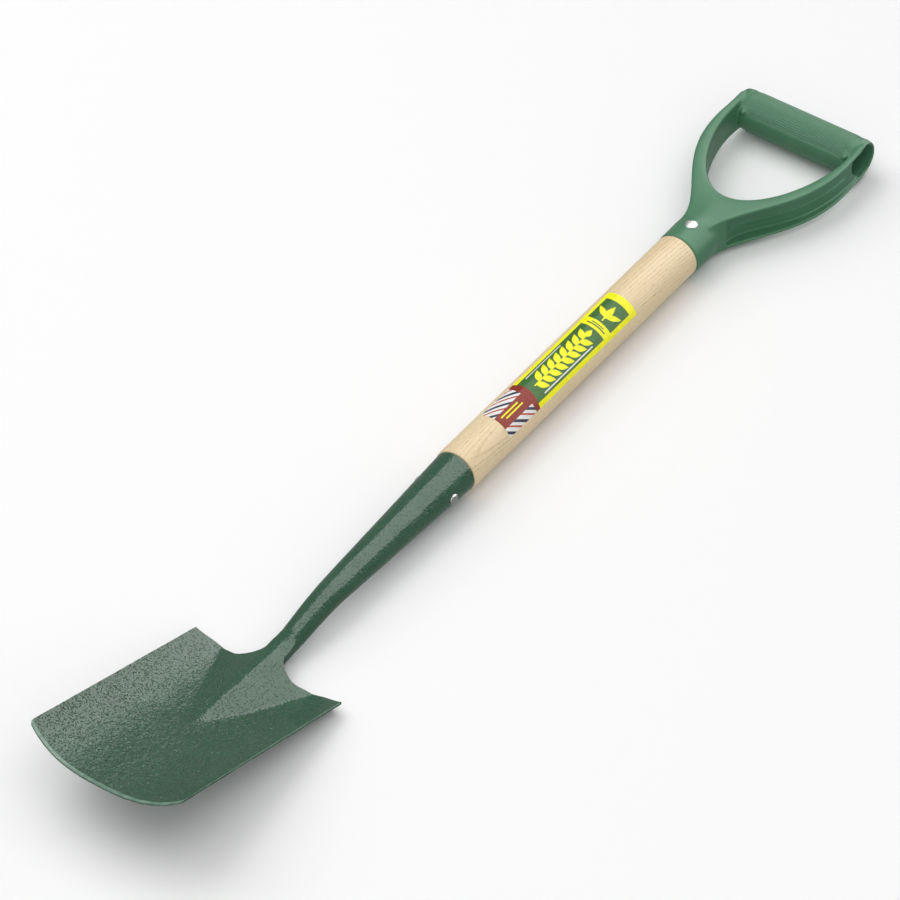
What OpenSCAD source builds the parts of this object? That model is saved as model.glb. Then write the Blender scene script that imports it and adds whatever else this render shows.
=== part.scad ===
// Border spade with an ash shaft and a D-shaped handle, lying face up.
// Shaft frame: origin at the middle of the socket's mouth, +Y along the shaft towards the handle,
// +Z out of the blade's front face. place() moves that frame to the resting place.

/* [Shaft] */
// Diameter of the ash shaft
shaft_d = 38; // [36:0.5:42]
// Bare length of shaft between the socket's mouth and the handle's ferrule
shaft_len = 307; // [260:1:420]

/* [Socket and neck] */
// Length of the straight tapered part of the socket
socket_len = 168; // [140:1:180]
// Outer diameter of the socket at its mouth
socket_mouth_d = 36.2; // [34:0.1:37]
// Outer diameter of the socket where the neck starts
neck_d = 22; // [20:0.5:24]
// Wall of the socket at its mouth
socket_wall = 2.2; // [1.8:0.1:3]

/* [Blade] */
// Half of the blade's width at the cutting edge
edge_half = 69.8; // [60:0.1:85]
// Half of the blade's width at its top corners
top_half = 68.6; // [60:0.1:85]
// Length of the blade's straight side edges
blade_len = 204; // [195:1:215]
// Plate thickness
plate_t = 2; // [1.6:0.1:3]
// Forward tilt of the blade against the shaft, in degrees
blade_tilt = 17.8; // [14:0.1:20]
// Depth of the dish across the blade at its cutting edge
dish_bottom = 16.4; // [8:0.1:18]
// Depth of the dish across the blade at its top edge
dish_top = 10.6; // [6:0.1:12]
// How far the cutting edge bows past its corners
edge_bow = 7.8; // [4:0.1:14]

/* [Handle] */
// Outer diameter of the ferrule round the shaft's end
ferrule_d = 38.8; // [38:0.1:42]
// Outer diameter of the cross grip
grip_d = 33.6; // [32:0.1:36]
// Distance from the ferrule's mouth to the grip's axis
grip_reach = 184.2; // [172:0.1:195]
// Distance between the two flat faces of the handle's arms
arm_depth = 33.4; // [30:0.1:33.6]

/* [Fasteners] */
// Shank diameter of both rivets
rivet_d = 5; // [4:0.5:6]
// Head diameter of the socket's rivet
socket_rivet_head_d = 8.6; // [7:0.1:10]
// Head diameter of the handle's rivet
handle_rivet_head_d = 10; // [8:0.5:12]

/* [Label] */
// Length of the label along the shaft
label_len = 174.5; // [100:0.5:180]
// Angle that the label wraps round the shaft, in degrees
label_wrap = 97; // [60:1:150]

/* [Hidden] */
$fn = 64;

// Colours
enamel = [0.20, 0.36, 0.27];
moulding = [0.27, 0.45, 0.35];
ash = [0.90, 0.82, 0.68];
steel = [0.72, 0.73, 0.74];
zinc = [0.85, 0.86, 0.87];
print_yellow = [0.96, 0.95, 0.10];

// Small gap between pieces that touch, and overlap inside one piece
gap = 0.05;
bite = 0.5;

// Blade frame: u across, v up the blade from the line between the bottom corners, h out of its face
corner_y = -435.7;
corner_z = 51.6;
function blade_point(u, v, h) = [
    u,
    corner_y + v * cos(blade_tilt) + h * sin(blade_tilt),
    corner_z - v * sin(blade_tilt) + h * cos(blade_tilt)
];

function clamp01(t) = max(0, min(1, t));
function smooth_step(t) = let (c = clamp01(t)) c * c * (3 - 2 * c);
function mix(a, b, t) = a + (b - a) * t;
// Larger of two heights with a rounded join k wide, and the smaller likewise
function round_max(a, b, k) = (a + b + sqrt((a - b) * (a - b) + k * k)) / 2;
function round_min(a, b, k) = -round_max(-a, -b, k);

// The dish is flat-bottomed at the cutting edge and rounder at the top
dish_power_bottom = 3.1;
dish_power_top = 2.5;
function half_width(v) = mix(edge_half, top_half, v / blade_len);
function dish_h(u, v) =
    let (t = v / blade_len, across = min(1, abs(u) / half_width(v)))
    -mix(dish_bottom, dish_top, t) * (1 - pow(across, mix(dish_power_bottom, dish_power_top, t)));

// The frog: a raised triangle from its tip up to the neck, two flanks that meet in a rounded crest
frog_tip_v = 112;
frog_tip_h = -13.6;
crest_slope = 0.25;
crest_round = 5;
flank_fall = 0.48;
function frog_h(u, v) =
    frog_tip_h + crest_slope * (v - frog_tip_v)
    - flank_fall * (sqrt(u * u + crest_round * crest_round) - crest_round);
function front_h(u, v) = round_max(dish_h(u, v), frog_h(u, v), 1.2);

// The cutting edge has a bevel on its front, and the back swells behind the frog
bevel_w = 3;
bevel_h = 0.9;
corner_r = 2.5;
function arc(t, r) = r * (1 - sqrt(max(0, 1 - t * t)));
function bottom_v(u) =
    arc(clamp01(1 - (edge_half - abs(u)) / corner_r), corner_r) - edge_bow * (1 - pow(u / edge_half, 2));
function bevel(u, v) = bevel_h * (1 - clamp01((v - bottom_v(u)) / bevel_w));
// Past the plate's top edge the ridge on the back climbs into the neck
ridge_climb = 8.5;
function back_ridge_h(u, v) =
    mix(-15.6, -13.5, (v - frog_tip_v) / 91) + u * u / 11 + ridge_climb * smooth_step((v - 199) / 19);
function back_h(u, v) =
    let (plain = front_h(u, v) - plate_t)
    v < 80 ? plain : min(plain, round_min(plain, back_ridge_h(u, v), 1.5));

// Top edge: rises a little on each shoulder, dips beside the neck, then turns up into it
neck_half = 9;
fillet_r = 9.5;
shoulder = 3;
shoulder_u = 50;
shoulder_w = 14;
dip = 4;
dip_u = 26;
dip_w = 10;
function swell(a, middle, width) = exp(-pow((a - middle) / width, 2));
function top_v(u) =
    let (a = abs(u))
    blade_len + shoulder * swell(a, shoulder_u, shoulder_w) - dip * swell(a, dip_u, dip_w)
    + arc(clamp01(1 - (a - neck_half) / fillet_r), fillet_r);

// Columns from the middle outwards: the neck, the fillet, the plain plate, the rounded corner
half_columns = concat(
    [for (k = [0:4]) neck_half * sin(90 * k / 5)],
    [for (k = [0:3]) neck_half + fillet_r * (1 - cos(90 * k / 4))],
    [for (k = [0:8]) mix(neck_half + fillet_r, edge_half - corner_r, k / 9)],
    [for (k = [0:4]) edge_half - corner_r * (1 - sin(90 * k / 4))]
);
half_cols = len(half_columns) - 1;
cols = 2 * half_cols;
rows = 28;
function column_u(i) = i < half_cols ? -half_columns[half_cols - i] : half_columns[i - half_cols];
function row_t(j) = j == 0 ? 0 : mix(bevel_w / blade_len, 1, (j - 1) / (rows - 1));
function grid_point(i, j, front) =
    let (
        u0 = column_u(i),
        v = mix(bottom_v(u0), top_v(u0), row_t(j)),
        u = u0 * half_width(v) / edge_half
    )
    blade_point(u, v, front ? front_h(u, v) - bevel(u, v) : back_h(u, v));

module blade_plate() {
    across = cols + 1;
    sheet = across * (rows + 1);
    front = [for (j = [0:rows]) for (i = [0:cols]) grid_point(i, j, true)];
    back = [for (j = [0:rows]) for (i = [0:cols]) grid_point(i, j, false)];
    function quad(a, b, c, d) = [[a, b, c], [a, c, d]];
    faces = [
        for (j = [0:rows - 1]) for (i = [0:cols - 1])
            let (p = j * across + i, q = p + across)
            each concat(quad(p, q, q + 1, p + 1), quad(sheet + p, sheet + p + 1, sheet + q + 1, sheet + q)),
        for (i = [0:cols - 1])
            let (t = rows * across + i)
            each concat(quad(i, i + 1, sheet + i + 1, sheet + i), quad(t + 1, t, sheet + t, sheet + t + 1)),
        for (j = [0:rows - 1])
            let (l = j * across, r = l + cols)
            each concat(quad(l + across, l, sheet + l, sheet + l + across),
                        quad(r, r + across, sheet + r + across, sheet + r))
    ];
    polyhedron(points = concat(front, back), faces = faces, convexity = 6);
}

// Neck: rings [y, z, half-width, half-height] from the socket down into the frog
neck_sides = 40;
neck_rings = [
    [-socket_len + 4, 0, neck_d / 2 + 0.17, neck_d / 2 + 0.17],
    [-socket_len, -0.2, neck_d / 2, neck_d / 2],
    [-178, -1.3, 10.6, 10.7],
    [-188, -3.0, 10.3, 10.4],
    [-198, -4.9, 10.0, 10.1],
    [-208, -6.8, 9.6, 9.8],
    [-218, -8.6, 9.2, 9.5],
    [-228, -10.4, 8.9, 9.3],
    [-237, -11.8, 8.8, 9.6],
    [-246, -12.4, 8.5, 9.4],
    [-254, -12.0, 7.5, 8.6]
];
module neck() {
    n = len(neck_rings);
    points = [
        for (r = neck_rings) for (k = [0:neck_sides - 1])
            let (a = 360 * k / neck_sides)
            [r[2] * cos(a), r[0], r[1] + r[3] * sin(a)]
    ];
    faces = [
        [for (k = [0:neck_sides - 1]) k],
        [for (k = [0:neck_sides - 1]) n * neck_sides - 1 - k],
        for (j = [0:n - 2]) for (k = [0:neck_sides - 1])
            let (a = j * neck_sides + k, b = j * neck_sides + (k + 1) % neck_sides)
            each [[a, b + neck_sides, b], [a, a + neck_sides, b + neck_sides]]
    ];
    polyhedron(points = points, faces = faces, convexity = 4);
}

// Round solids along the shaft: from y = a with diameter da to y = b with diameter db
module along_y(a, b, da, db) {
    translate([0, a, 0]) rotate([-90, 0, 0]) cylinder(h = b - a, d1 = da, d2 = db);
}

// Resting place: the lowest point, on the ridge behind the blade, touches the ground at z = 0
blade_end = blade_point(0, bottom_v(0), back_h(0, bottom_v(0)))[1];
handle_end = shaft_len + grip_reach + grip_d / 2;
ridge_top_v = top_v(0);
axis_z = -min([for (j = [0:rows])
    let (v = mix(bottom_v(0), ridge_top_v, row_t(j)))
    blade_point(0, v, back_h(0, v))[2]]);
module place() {
    translate([0, -(blade_end + handle_end) / 2, axis_z]) children();
}

socket_rivet_y = -26;
handle_rivet_y = shaft_len + 19;
bore_mouth_d = socket_mouth_d - 2 * socket_wall;
bore_end_d = 19;
bore_len = 160;
tenon_d = 31;
tenon_len = 34;
ferrule_len = 28;
ferrule_cone = 18;

module blade_head() {
    color(enamel) place() difference() {
        union() {
            along_y(-socket_len, 0, neck_d, socket_mouth_d);
            neck();
            blade_plate();
        }
        along_y(-bore_len, 0, bore_end_d, bore_mouth_d);
        along_y(-gap, 1, bore_mouth_d, bore_mouth_d + 2);
        translate([0, socket_rivet_y, 0]) rotate([0, 90, 0])
            cylinder(h = socket_mouth_d + 10, d = rivet_d, center = true);
    }
}

module shaft() {
    chamfer = 1;
    color(ash) place() difference() {
        union() {
            along_y(2 - bore_len, gap, bore_end_d - 2 * gap, bore_mouth_d - 2 * gap);
            along_y(gap, chamfer, shaft_d - 2 * chamfer, shaft_d);
            along_y(chamfer, shaft_len - chamfer, shaft_d, shaft_d);
            along_y(shaft_len - chamfer, shaft_len - gap, shaft_d, shaft_d - chamfer);
            along_y(shaft_len - gap - bite, shaft_len + tenon_len - 1, tenon_d - 2 * gap, tenon_d - 2 * gap);
        }
        translate([0, socket_rivet_y, 0]) rotate([0, 90, 0])
            cylinder(h = shaft_d, d = rivet_d, center = true);
        translate([0, handle_rivet_y, 0])
            cylinder(h = shaft_d, d = rivet_d, center = true);
    }
}

// Rivet along Z with a domed head at each end, and heads that start at the radius seat_r
module rivet(seat_r, head_d, head_h) {
    dome_r = (head_d * head_d / 4 + head_h * head_h) / (2 * head_h);
    cylinder(h = 2 * seat_r, d = rivet_d - 2 * gap, center = true);
    for (side = [0, 180]) rotate([0, side, 0]) {
        translate([0, 0, seat_r - 1.2]) cylinder(h = 1.2, d = head_d);
        intersection() {
            translate([0, 0, seat_r + head_h - dome_r]) sphere(r = dome_r);
            translate([0, 0, seat_r - bite]) cylinder(h = head_h + 1, d = head_d);
        }
    }
}

// Rivet shank and heads without what the round piece under the heads fills
module seated_rivet(seat_r, head_d, head_h) {
    difference() {
        rivet(seat_r, head_d, head_h);
        difference() {
            children();
            cylinder(h = 3 * seat_r, d = rivet_d, center = true);
        }
    }
}

module socket_rivet() {
    seat_r = (socket_mouth_d + (socket_mouth_d - neck_d) * socket_rivet_y / socket_len) / 2;
    color(steel) place() translate([0, socket_rivet_y, 0]) rotate([0, 90, 0])
        seated_rivet(seat_r + gap, socket_rivet_head_d, 1.3)
            rotate([0, -90, 0]) translate([0, -socket_rivet_y, 0])
                along_y(-socket_len, 0, neck_d + 2 * gap, socket_mouth_d + 2 * gap);
}

module handle_rivet() {
    color(zinc) place() translate([0, handle_rivet_y, 0])
        seated_rivet(ferrule_d / 2 + gap, handle_rivet_head_d, 1.2)
            along_y(-15, 12, ferrule_d + 2 * gap, ferrule_d + 2 * gap);
}

// Handle outlines, one side, in the plane of the arms: cubic curves from the neck to the widest point
function curve(p, t) = let (s = 1 - t)
    s * s * s * p[0] + 3 * s * s * t * p[1] + 3 * s * t * t * p[2] + t * t * t * p[3];
function side(x, y) = [x, shaft_len + y];
steps = 14;
arm_outside = [side(15.5, 36), side(29.7, 71.6), side(64.4, 96.3), side(62.6, 157)];
arm_inside = [side(0, 69), side(27, 69), side(52.4, 118), side(54, 159)];
channel_floor = [side(13.5, 44), side(15, 80), side(54, 88), side(57.4, 159)];
bead_top = [side(14.5, 44), side(18, 76), side(56.5, 87), side(60, 159)];
function outline(p) = [for (i = [0:steps]) curve(p, i / steps)];
function mirrored(points) = [for (i = [len(points) - 1:-1:0]) [-points[i][0], points[i][1]]];
arm_end_x = 60.4;
grip_y = shaft_len + grip_reach;

module arm_plate() {
    right = concat([side(12.5, 27)], outline(arm_outside), [side(62, 168), side(61.4, 176), [arm_end_x, grip_y]]);
    polygon(concat(right, mirrored(right)));
}

module opening() {
    right = concat(outline(arm_inside), [[arm_inside[3][0], grip_y]]);
    left = mirrored(right);
    polygon(concat(right, [for (i = [0:len(left) - 2]) left[i]]));
}

// Area outside a curve that follows the arm, open to the outside
far_x = 90;
channel_end = shaft_len + grip_reach;
module outside_of(p) {
    polygon(concat(outline(p), [[p[3][0], channel_end], [far_x, channel_end], [far_x, p[0][1]]]));
}

// Strip between the channel's floor and the top of the bead that runs along it
module bead() {
    top = outline(bead_top);
    polygon(concat(outline(channel_floor), [for (i = [steps:-1:0]) top[i]]));
}

module both_sides() {
    children();
    mirror([1, 0, 0]) children();
}

channel_gap = 27;
bead_w = 5;
bead_z = -4;
grip_wall = 2.3;
grip_web = 5;

// Solid cross grip, shortened at each end
module grip_cylinder(d, shorter) {
    half = arm_end_x - shorter;
    translate([-half, grip_y, 0]) rotate([0, 90, 0]) cylinder(h = 2 * half, d = d);
}

module d_handle() {
    color(moulding) place() difference() {
        union() {
            along_y(shaft_len, shaft_len + ferrule_len, ferrule_d, ferrule_d);
            along_y(shaft_len + ferrule_len, shaft_len + ferrule_len + ferrule_cone, ferrule_d, arm_depth);
            difference() {
                union() {
                    translate([0, 0, -arm_depth / 2]) linear_extrude(arm_depth) arm_plate();
                    grip_cylinder(grip_d, 0);
                }
                translate([0, 0, -arm_depth]) linear_extrude(2 * arm_depth) opening();
                both_sides() translate([0, 0, -channel_gap / 2]) linear_extrude(channel_gap)
                    outside_of(channel_floor);
            }
            grip_cylinder(grip_d, arm_end_x - arm_inside[3][0] - 0.2);
            both_sides() translate([0, 0, bead_z - bead_w / 2]) linear_extrude(bead_w) bead();
        }
        along_y(shaft_len - 1, shaft_len + tenon_len, tenon_d, tenon_d);
        both_sides() translate([grip_web / 2, grip_y, 0]) rotate([0, 90, 0])
            cylinder(h = arm_end_x, d = grip_d - 2 * grip_wall);
        translate([0, handle_rivet_y, 0]) cylinder(h = 60, d = rivet_d, center = true);
    }
}

// The label lies on the shaft, turned from the front face towards +X
label_start = 48.5;
label_turn = 17.5;
label_t = 0.2;
module label() {
    color(print_yellow) place() translate([0, label_start + label_len, 0]) rotate([90, 0, 0])
        rotate([0, 0, 90 - label_turn - label_wrap / 2]) rotate_extrude(angle = label_wrap)
            translate([shaft_d / 2 + gap, 0]) square([label_t, label_len]);
}

blade_head();
shaft();
socket_rivet();
d_handle();
handle_rivet();
label();
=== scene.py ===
import math

import bmesh
import bpy
import numpy as np
from mathutils import Matrix, Vector


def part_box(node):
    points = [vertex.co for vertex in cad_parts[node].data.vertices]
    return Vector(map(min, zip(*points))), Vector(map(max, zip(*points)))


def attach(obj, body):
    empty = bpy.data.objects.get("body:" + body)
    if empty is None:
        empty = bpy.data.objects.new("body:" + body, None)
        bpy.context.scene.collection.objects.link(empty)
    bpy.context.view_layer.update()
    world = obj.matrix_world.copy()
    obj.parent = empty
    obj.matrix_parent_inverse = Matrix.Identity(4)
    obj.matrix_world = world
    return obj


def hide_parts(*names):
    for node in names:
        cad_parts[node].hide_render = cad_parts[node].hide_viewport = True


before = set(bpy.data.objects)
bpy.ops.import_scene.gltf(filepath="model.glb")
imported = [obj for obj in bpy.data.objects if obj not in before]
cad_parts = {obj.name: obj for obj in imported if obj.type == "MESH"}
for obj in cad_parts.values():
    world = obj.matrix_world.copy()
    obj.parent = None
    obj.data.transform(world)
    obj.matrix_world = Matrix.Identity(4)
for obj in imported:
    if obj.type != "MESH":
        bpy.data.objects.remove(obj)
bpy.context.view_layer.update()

# The pieces' sizes are in millimetres in the shaft frame: origin in the middle of the socket's mouth,
# +Y along the shaft towards the handle, +Z out of the blade's front face. Materials measure in
# millimetres in the part's own frame, and the floor and the lights in metres.
MM = 0.001
head_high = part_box("blade_head")[1]
shaft_low, shaft_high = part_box("shaft")
handle_low, handle_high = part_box("d_handle")
label_low, label_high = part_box("label")
ORIGIN = Vector((0.0, head_high.y, (shaft_low.z + shaft_high.z) / 2))
SHAFT_R = (shaft_high.x - shaft_low.x) / 2 / MM
FERRULE_Y = (handle_low.y - ORIGIN.y) / MM
GRIP_R = 16.8
GRIP_Y = (handle_high.y - ORIGIN.y) / MM - GRIP_R


# ---------------------------------------------------------------- mesh helpers

def make_piece(name, points, faces, material, node=None, smooth_angle=40.0):
    """A mesh object from points in the shaft frame, riding on the root body."""
    mesh = bpy.data.meshes.new(name)
    placed = np.asarray(points, float) * MM + np.array(ORIGIN)
    mesh.from_pydata(placed.tolist(), [], [tuple(int(i) for i in f) for f in faces])
    mesh.validate()
    tidy = bmesh.new()
    tidy.from_mesh(mesh)
    bmesh.ops.recalc_face_normals(tidy, faces=tidy.faces)
    tidy.to_mesh(mesh)
    tidy.free()
    mesh.shade_smooth()
    mesh.set_sharp_from_angle(angle=math.radians(smooth_angle))
    mesh.materials.append(material)
    piece = bpy.data.objects.new(name, mesh)
    bpy.context.scene.collection.objects.link(piece)
    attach(piece, "root")
    if node:
        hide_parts(node)
    return piece


def strip_faces(first, second, closed=False):
    """Quads between two rows of point numbers."""
    count = len(first)
    steps = range(count if closed else count - 1)
    return [(first[i], first[(i + 1) % count], second[(i + 1) % count], second[i]) for i in steps]


def loft_faces(rows, closed=False):
    faces = []
    for first, second in zip(rows[:-1], rows[1:]):
        faces += strip_faces(first, second, closed)
    return faces


def lathe(profile, around=96, axis="Y"):
    """Points and faces of a closed solid turned from (radius, height) pairs, single points on the axis."""
    angles = np.linspace(0, 2 * math.pi, around, endpoint=False)
    rows, points = [], []
    for radius, height in profile:
        start = len(points)
        if radius < 1e-9:
            points.append((0.0, height, 0.0))
            rows.append([start] * around)
            continue
        points += [(radius * math.sin(a), height, radius * math.cos(a)) for a in angles]
        rows.append(list(range(start, start + around)))
    faces = []
    for quad in loft_faces(rows, closed=True):
        corners = list(dict.fromkeys(quad))
        if len(corners) > 2:
            faces.append(corners)
    points = np.array(points)
    if axis == "X":
        points = points[:, [1, 0, 2]]
    if axis == "Z":
        points = points[:, [0, 2, 1]]
    return points, faces


def smooth_step(t):
    t = np.clip(t, 0, 1)
    return t * t * (3 - 2 * t)


def mix(a, b, t):
    return a + (b - a) * t


def round_max(a, b, k):
    return (a + b + np.sqrt((a - b) ** 2 + k * k)) / 2


def round_min(a, b, k):
    return -round_max(-a, -b, k)


def ripples(points, wavelength, height, seed, count=24):
    """Smooth random hollows: a sum of plane waves with random directions and phases."""
    draw = np.random.default_rng(seed)
    total = np.zeros(len(points))
    for _ in range(count):
        direction = draw.normal(size=3)
        direction *= 2 * math.pi / (wavelength * draw.uniform(0.7, 1.6)) / np.linalg.norm(direction)
        total += np.sin(points @ direction + draw.uniform(0, 2 * math.pi))
    return total * height / math.sqrt(count)


# ---------------------------------------------------------------- materials

def new_material(name, colour, roughness):
    material = bpy.data.materials.new(name)
    material.use_nodes = True
    tree = material.node_tree
    shader = tree.nodes["Principled BSDF"]
    shader.inputs["Base Color"].default_value = (*colour, 1)
    shader.inputs["Roughness"].default_value = roughness
    return material, tree, shader


def add(tree, kind, values=None, **settings):
    node = tree.nodes.new(kind)
    for name, value in settings.items():
        setattr(node, name, value)
    for name, value in (values or {}).items():
        if isinstance(value, bpy.types.NodeSocket):
            tree.links.new(value, node.inputs[name])
        else:
            node.inputs[name].default_value = value
    return node


def math_node(tree, operation, a, b=0.0):
    node = add(tree, "ShaderNodeMath", operation=operation)
    for socket, value in zip(node.inputs, (a, b)):
        if isinstance(value, bpy.types.NodeSocket):
            tree.links.new(value, socket)
        else:
            socket.default_value = value
    return node.outputs[0]


def place_nodes(tree, scale=(1, 1, 1), rotation=(0, 0, 0)):
    """Object coordinates in millimetres, then scaled and turned."""
    where = add(tree, "ShaderNodeTexCoord")
    in_mm = add(tree, "ShaderNodeVectorMath", {"Vector": where.outputs["Object"]}, operation="SCALE")
    in_mm.inputs["Scale"].default_value = 1 / MM
    turned = add(tree, "ShaderNodeMapping", {"Vector": in_mm.outputs[0]}, vector_type="POINT")
    turned.inputs["Scale"].default_value = scale
    turned.inputs["Rotation"].default_value = rotation
    return turned.outputs[0]


def noise(tree, vector, size, detail=3.0, roughness=0.5):
    """Noise with features about size across, as a 0 to 1 value."""
    values = {"Vector": vector, "Scale": 1 / size, "Detail": detail, "Roughness": roughness}
    return add(tree, "ShaderNodeTexNoise", values).outputs["Fac"]


def grey_ramp(tree, value, stops):
    """A value run through (position, grey) stops."""
    node = add(tree, "ShaderNodeValToRGB", {"Fac": value})
    elements = node.color_ramp.elements
    while len(elements) < len(stops):
        elements.new(0.5)
    for element, (position, grey) in zip(elements, stops):
        element.position = position
        element.color = (grey, grey, grey, 1)
    return add(tree, "ShaderNodeSeparateColor", {"Color": node.outputs["Color"]}).outputs[0]


def level(tree, value, low, high, out_low=0.0, out_high=1.0):
    """The span from low to high stretched over the span of the outputs, and held at both ends."""
    values = {"Value": value, "From Min": low, "From Max": high, "To Min": out_low, "To Max": out_high}
    return add(tree, "ShaderNodeMapRange", values, clamp=True).outputs["Result"]


def mix_colour(tree, factor, a, b):
    node = add(tree, "ShaderNodeMix", data_type="RGBA", blend_type="MIX")
    for socket, value in zip((node.inputs[0], node.inputs[6], node.inputs[7]), (factor, a, b)):
        if isinstance(value, bpy.types.NodeSocket):
            tree.links.new(value, socket)
        else:
            socket.default_value = (*value, 1) if isinstance(value, tuple) else value
    return node.outputs[2]


def bump(tree, shader, height, distance):
    values = {"Height": height, "Distance": distance * MM, "Strength": 1.0}
    node = add(tree, "ShaderNodeBump", values)
    tree.links.new(node.outputs["Normal"], shader.inputs["Normal"])


def enamel_material():
    """Thick green stove enamel over scale-pitted forged steel: glossy, with an orange-peel surface."""
    material, tree, shader = new_material("green_enamel", (0.025, 0.085, 0.045), 0.06)
    at = place_nodes(tree)
    patches = noise(tree, at, 38, detail=4)
    shade = mix_colour(tree, level(tree, patches, 0.35, 0.65), (0.024, 0.082, 0.044), (0.029, 0.094, 0.051))
    peel = noise(tree, at, 2.3, detail=2.0, roughness=0.60)
    specks = level(tree, noise(tree, at, 1.6, detail=1.0), 0.56, 0.70)
    shade = mix_colour(tree, math_node(tree, "MULTIPLY", specks, 0.45), shade, (0.008, 0.036, 0.018))
    along = add(tree, "ShaderNodeSeparateXYZ", {"Vector": at}).outputs["Y"]
    # Along the part's own Y: coarsest by the cutting edge, fading to fine where the neck starts
    coarse = level(tree, along, -410, -262, 1.0, 0.22)
    # Painted highlights: sparse pale specks that stand in for glints, fewer up the blade and none on the neck
    # and socket
    painted_glints = level(tree, noise(tree, at, 1.3, detail=0.5), 0.735, 0.76)
    painted_glints = math_node(tree, "MULTIPLY", painted_glints, level(tree, coarse, 0.25, 0.6))
    shade = mix_colour(tree, painted_glints, shade, (0.18, 0.30, 0.22))
    tree.links.new(shade, shader.inputs["Base Color"])
    swell = noise(tree, at, 4.5, detail=1.0)
    soft = math_node(tree, "ADD", math_node(tree, "MULTIPLY", peel, 4.5),
                     math_node(tree, "MULTIPLY", swell, 3.5))
    height = math_node(tree, "SUBTRACT", soft, math_node(tree, "MULTIPLY", specks, 5.5))
    bump(tree, shader, math_node(tree, "MULTIPLY", height, coarse), 0.13)
    gloss = level(tree, noise(tree, at, 22, detail=3), 0.3, 0.7, 0.05, 0.10)
    tree.links.new(gloss, shader.inputs["Roughness"])
    return material


def painted_edge_highlight_material():
    """Paler enamel without the orange peel: a painted highlight along the blade's edges."""
    material, tree, shader = new_material("painted_edge_highlight", (0.12, 0.25, 0.17), 0.22)
    at = place_nodes(tree)
    # Painted highlight: two pale greens that vary at random along the edge line
    highlight_patches = level(tree, noise(tree, at, 6, detail=3), 0.40, 0.65)
    shade = mix_colour(tree, highlight_patches, (0.105, 0.200, 0.145), (0.18, 0.28, 0.225))
    tree.links.new(shade, shader.inputs["Base Color"])
    return material


def plastic_material():
    """Satin green moulded polypropylene with a faint moulded grain."""
    material, tree, shader = new_material("green_plastic", (0.075, 0.20, 0.115), 0.36)
    shader.inputs["Specular IOR Level"].default_value = 0.35
    at = place_nodes(tree)
    shade = mix_colour(tree, level(tree, noise(tree, at, 30, detail=3), 0.35, 0.65),
                       (0.058, 0.178, 0.092), (0.068, 0.196, 0.105))
    tree.links.new(shade, shader.inputs["Base Color"])
    height = math_node(tree, "ADD", noise(tree, at, 0.6, detail=2),
                       math_node(tree, "MULTIPLY", noise(tree, at, 9, detail=2), 2.0))
    bump(tree, shader, height, 0.03)
    gloss = level(tree, noise(tree, at, 14, detail=3), 0.3, 0.7, 0.32, 0.42)
    tree.links.new(gloss, shader.inputs["Roughness"])
    return material


def wood_material():
    """Turned ash: growth rings cut along their length, open pores in dashes, a thin clear lacquer."""
    material, tree, shader = new_material("ash_wood", (0.72, 0.55, 0.36), 0.45)
    # The tree's axis: beside the shaft and slightly slanted, so that rings run out along its face
    pith_x, pith_z, ring_pitch = 20.0, 46.0, 2.6
    bent = place_nodes(tree, rotation=(math.radians(4.2), 0, math.radians(-0.6)))
    wander = add(tree, "ShaderNodeTexNoise", {"Vector": place_nodes(tree, scale=(1, 0.11, 1)),
                                              "Scale": 1 / 20, "Detail": 2.0})
    shift = add(tree, "ShaderNodeVectorMath", {0: wander.outputs["Color"], 1: (0.5, 0.5, 0.5)},
                operation="SUBTRACT")
    shift = add(tree, "ShaderNodeVectorMath", {0: shift.outputs[0]}, operation="SCALE")
    shift.inputs["Scale"].default_value = 6.0
    where = add(tree, "ShaderNodeVectorMath", {0: bent, 1: shift.outputs[0]}, operation="ADD").outputs[0]
    apart = add(tree, "ShaderNodeSeparateXYZ", {"Vector": where})
    across = math_node(tree, "ADD", apart.outputs["X"], -pith_x)
    deep = math_node(tree, "ADD", apart.outputs["Z"], -pith_z)
    radius = math_node(tree, "SQRT", math_node(tree, "ADD", math_node(tree, "MULTIPLY", across, across),
                                               math_node(tree, "MULTIPLY", deep, deep)))
    ring = math_node(tree, "FRACT", math_node(tree, "DIVIDE", radius, ring_pitch))
    early = grey_ramp(tree, ring, [(0.0, 0.55), (0.07, 1.0), (0.24, 0.65), (0.45, 0.10), (1.0, 0.0)])
    streaks = noise(tree, place_nodes(tree, scale=(1, 0.03, 1)), 0.55, detail=3, roughness=0.6)
    streaks = level(tree, streaks, 0.38, 0.66)
    pores = level(tree, noise(tree, place_nodes(tree, scale=(1, 0.12, 1)), 0.50, detail=2), 0.52, 0.66)
    pores = math_node(tree, "MULTIPLY", pores, level(tree, early, 0.0, 1.0, 0.22, 1.0))
    broad = noise(tree, place_nodes(tree, scale=(1, 0.15, 1)), 14, detail=2)
    shade = mix_colour(tree, level(tree, broad, 0.35, 0.65), (0.82, 0.675, 0.435), (0.76, 0.605, 0.370))
    shade = mix_colour(tree, math_node(tree, "MULTIPLY", early, 0.38), shade, (0.56, 0.40, 0.215))
    shade = mix_colour(tree, math_node(tree, "MULTIPLY", streaks, 0.26), shade, (0.56, 0.41, 0.235))
    shade = mix_colour(tree, math_node(tree, "MULTIPLY", pores, 0.62), shade, (0.36, 0.225, 0.10))
    tree.links.new(shade, shader.inputs["Base Color"])
    height = math_node(tree, "SUBTRACT", math_node(tree, "MULTIPLY", streaks, 0.35), pores)
    bump(tree, shader, height, 0.05)
    shader.inputs["Specular IOR Level"].default_value = 0.3
    shader.inputs["Coat Weight"].default_value = 0.15
    shader.inputs["Coat Roughness"].default_value = 0.30
    return material


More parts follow.
